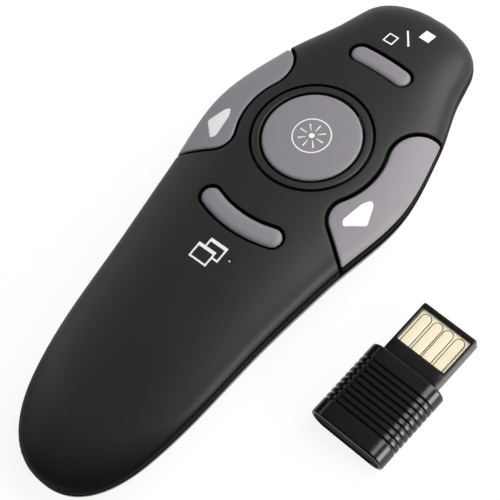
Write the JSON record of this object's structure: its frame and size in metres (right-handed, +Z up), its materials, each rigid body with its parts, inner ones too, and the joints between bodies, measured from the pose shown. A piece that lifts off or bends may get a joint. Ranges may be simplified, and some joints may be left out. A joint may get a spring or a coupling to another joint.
{
  "type": "wireless presentation clicker",
  "caption": "Black handheld wireless presentation clicker with five grey keys, laser in the nose, two AAA cells and a plug-in USB receiver lying beside it.",
  "frame": {"origin": "middle of the flat on the belly that the clicker rests on, halfway along its length", "axes": "+Z up, +Y along the clicker to the nose, +X to the right-hand key"},
  "size_m": [0.0672, 0.1149, 0.0187],
  "materials": {
    "shell_matte_black": "soft matte",
    "shell_gloss_black": "satin gloss",
    "key_grey": "satin",
    "clear_lens": "clear",
    "board_green": "lacquered",
    "chip_black": "matte",
    "plated_steel": "plated",
    "barrel_brass": "turned",
    "cell_jacket": "printed sleeve, no print",
    "receiver_black": "satin gloss",
    "board_ivory": "lacquered",
    "contact_gold": "gold plated"
  },
  "bodies": {
    "case": {"top_shell": "shell_matte_black", "bottom_shell": "shell_gloss_black", "laser_key_bezel": "shell_matte_black", "status_light_pipe": "clear_lens", "main_board": "board_green", "controller_chip": "chip_black", "radio_crystal": "plated_steel", "status_led": "clear_lens", "laser_tact_switch": "plated_steel", "previous_tact_switch": "plated_steel", "next_tact_switch": "plated_steel", "blank_tact_switch": "plated_steel", "window_tact_switch": "plated_steel", "laser_barrel": "barrel_brass", "laser_diode": "plated_steel", "laser_lens": "clear_lens", "laser_window": "clear_lens", "battery_left": "cell_jacket", "battery_right": "cell_jacket", "battery_springs": "plated_steel", "battery_plates": "plated_steel", "power_switch_body": "plated_steel", "case_screws": "plated_steel"},
    "laser_key_body": {"laser_key": "key_grey", "laser_plunger": "chip_black"},
    "previous_key_body": {"previous_key": "key_grey", "previous_plunger": "chip_black"},
    "next_key_body": {"next_key": "key_grey", "next_plunger": "chip_black"},
    "blank_screen_key_body": {"blank_screen_key": "key_grey", "blank_plunger": "chip_black"},
    "window_key_body": {"window_key": "key_grey", "window_plunger": "chip_black"},
    "battery_cover_body": {"battery_cover": "shell_gloss_black"},
    "power_knob_body": {"power_switch_knob": "key_grey"},
    "receiver_body": {"receiver_sleeve": "receiver_black", "receiver_end_cap": "receiver_black", "receiver_plug": "receiver_black", "receiver_board": "board_ivory", "receiver_contacts": "contact_gold", "receiver_chip": "chip_black"}
  },
  "joints": [
    {"name": "laser_key_press", "type": "slide", "parent": "case", "child": "laser_key_body", "axis": [0, 0, -1], "range_m": [0, 0.00025], "stiffness_N_per_m": 2000, "springref_m": -0.0002},
    {"name": "previous_key_press", "type": "slide", "parent": "case", "child": "previous_key_body", "axis": [0, 0, -1], "range_m": [0, 0.00025], "stiffness_N_per_m": 2000, "springref_m": -0.0002},
    {"name": "next_key_press", "type": "slide", "parent": "case", "child": "next_key_body", "axis": [0, 0, -1], "range_m": [0, 0.00025], "stiffness_N_per_m": 2000, "springref_m": -0.0002},
    {"name": "blank_screen_key_press", "type": "slide", "parent": "case", "child": "blank_screen_key_body", "axis": [0, 0, -1], "range_m": [0, 0.00025], "stiffness_N_per_m": 2000, "springref_m": -0.0002},
    {"name": "window_key_press", "type": "slide", "parent": "case", "child": "window_key_body", "axis": [0, 0, -1], "range_m": [0, 0.00025], "stiffness_N_per_m": 2000, "springref_m": -0.0002},
    {"name": "battery_cover_slide", "type": "slide", "parent": "case", "child": "battery_cover_body", "axis": [0, -1, 0], "range_m": [0, 0.055]},
    {"name": "power_switch_slide", "type": "slide", "parent": "case", "child": "power_knob_body", "axis": [0, 1, 0], "range_m": [0, 0.0025]},
    {"name": "receiver_lift", "type": "slide", "parent": "case", "child": "receiver_body", "axis": [0, 0, 1], "range_m": [0, 0.03]}
  ]
}
